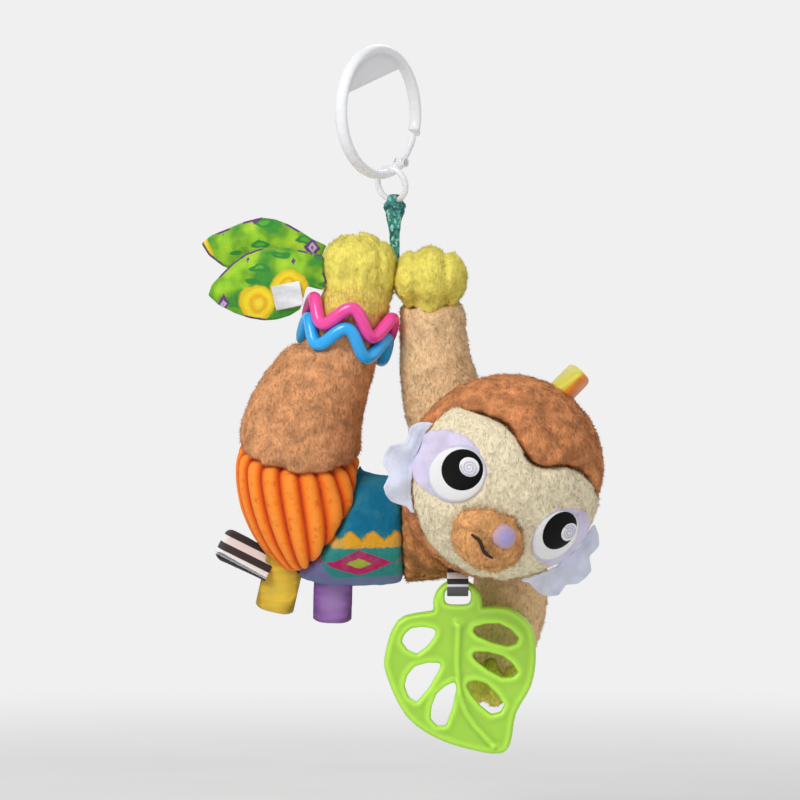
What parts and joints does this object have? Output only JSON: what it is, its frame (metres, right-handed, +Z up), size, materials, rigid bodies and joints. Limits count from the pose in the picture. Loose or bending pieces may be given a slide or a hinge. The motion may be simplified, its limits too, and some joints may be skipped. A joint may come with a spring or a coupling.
{
  "type": "stroller toy",
  "caption": "Soft sloth toy with a zigzag-ringed ankle and leaf teether, hung by one hand and foot from a snap ring clip",
  "frame": {"origin": "where the ring's top web rests on the canopy rim", "axes": "+Z up, +X to the right as the face is seen, -Y towards the viewer"},
  "size_m": [0.196, 0.1174, 0.3436],
  "materials": {
    "white_plastic": "gloss",
    "teal_ribbon": "satin",
    "yellow_plush": "matte",
    "brown_plush": "matte",
    "corduroy": "matte",
    "teal_weave": "matte",
    "chest_plush": "matte",
    "beige_plush": "matte",
    "crown_plush": "matte",
    "cream_plush": "matte",
    "muzzle_plush": "matte",
    "nose_thread": "satin",
    "smile_thread": "satin",
    "white_thread": "satin",
    "black_thread": "satin",
    "lavender_velour": "satin",
    "frill_satin": "satin",
    "head_tag_ribbon": "satin",
    "striped_ribbon": "satin",
    "yellow_ribbon": "satin",
    "purple_ribbon": "satin",
    "leaf_print": "matte",
    "label_satin": "satin",
    "pink_plastic": "gloss",
    "blue_plastic": "gloss",
    "lime_silicone": "satin"
  },
  "bodies": {
    "ring": {"hook_ring": "white_plastic", "gate_pin": "white_plastic"},
    "gate": {"ring_gate": "white_plastic"},
    "ribbon": {"hang_ribbon": "teal_ribbon"},
    "sloth": {"ribbon_foot": "teal_ribbon", "foot_mitt": "yellow_plush", "raised_hand": "yellow_plush", "leg": "brown_plush", "corduroy_rump": "corduroy", "print_panel": "teal_weave", "chest": "chest_plush", "raised_arm": "beige_plush", "striped_tag": "striped_ribbon", "yellow_tag": "yellow_ribbon", "purple_tag": "purple_ribbon"},
    "head": {"crown": "crown_plush", "face_panel": "cream_plush", "muzzle": "muzzle_plush", "nose": "nose_thread", "smile_stitch": "smile_thread", "left_eye_patch": "lavender_velour", "right_eye_patch": "lavender_velour", "left_eye_white": "white_thread", "right_eye_white": "white_thread", "left_iris": "black_thread", "right_iris": "black_thread", "left_eye_glint": "white_thread", "right_eye_glint": "white_thread", "left_ear_frill": "frill_satin", "right_ear_frill": "frill_satin", "head_tag": "head_tag_ribbon"},
    "low_arm": {"hanging_arm": "beige_plush", "hanging_hand": "yellow_plush"},
    "zigzags": {"pink_ring": "pink_plastic", "blue_ring": "blue_plastic"},
    "front_leaf": {"leaf_front": "leaf_print", "care_label": "label_satin"},
    "back_leaf": {"leaf_back": "leaf_print"},
    "strap": {"teether_strap": "striped_ribbon"},
    "teether": {"leaf_teether": "lime_silicone"}
  },
  "joints": [
    {"name": "gate_hinge", "type": "hinge", "parent": "ring", "child": "gate", "pos_m": [0.01342, 0.01847, -0.03899], "axis": [0.809, -0.5878, 0], "range_deg": [0, 28], "stiffness_Nm_per_rad": 0.02},
    {"name": "toy_swing", "type": "hinge", "parent": "ring", "child": "ribbon", "pos_m": [0.01032, 0.0142, -0.05743], "axis": [-0.809, 0.5878, 0], "range_deg": [-20, 20]},
    {"name": "toy_twist", "type": "hinge", "parent": "ribbon", "child": "sloth", "pos_m": [0.01032, 0.0142, -0.07358], "axis": [0, 0, 1], "range_deg": [-75, 75], "stiffness_Nm_per_rad": 0.01},
    {"name": "head_tilt", "type": "hinge", "parent": "sloth", "child": "head", "pos_m": [0.06252, -0.0278, -0.19102], "axis": [0.2183, -0.9659, -0.1391], "range_deg": [-12, 12], "stiffness_Nm_per_rad": 0.1},
    {"name": "arm_swing", "type": "hinge", "parent": "sloth", "child": "low_arm", "pos_m": [0.06718, 0.0192, -0.23767], "axis": [0, 1, 0], "range_deg": [-12, 12], "stiffness_Nm_per_rad": 0.05},
    {"name": "zigzag_spin", "type": "hinge", "parent": "sloth", "child": "zigzags", "pos_m": [-0.0111, 0.0142, -0.1153], "axis": [-0.2583, 0, -0.9661], "continuous": true},
    {"name": "front_leaf_flap", "type": "hinge", "parent": "sloth", "child": "front_leaf", "pos_m": [-0.02146, 0.0072, -0.08704], "axis": [0.2873, 0, 0.9578], "range_deg": [-3.5, 14], "stiffness_Nm_per_rad": 0.01},
    {"name": "back_leaf_flap", "type": "hinge", "parent": "sloth", "child": "back_leaf", "pos_m": [-0.02146, 0.0172, -0.08171], "axis": [0.1104, 0, 0.9939], "range_deg": [-14, 3.5], "stiffness_Nm_per_rad": 0.01},
    {"name": "strap_swing", "type": "hinge", "parent": "sloth", "child": "strap", "pos_m": [0.04026, -0.0083, -0.23168], "axis": [-1, 0, 0], "range_deg": [-1, 20]},
    {"name": "teether_swing", "type": "hinge", "parent": "strap", "child": "teether", "pos_m": [0.04092, -0.0083, -0.24285], "axis": [-1, 0, 0], "range_deg": [-2, 25]}
  ]
}
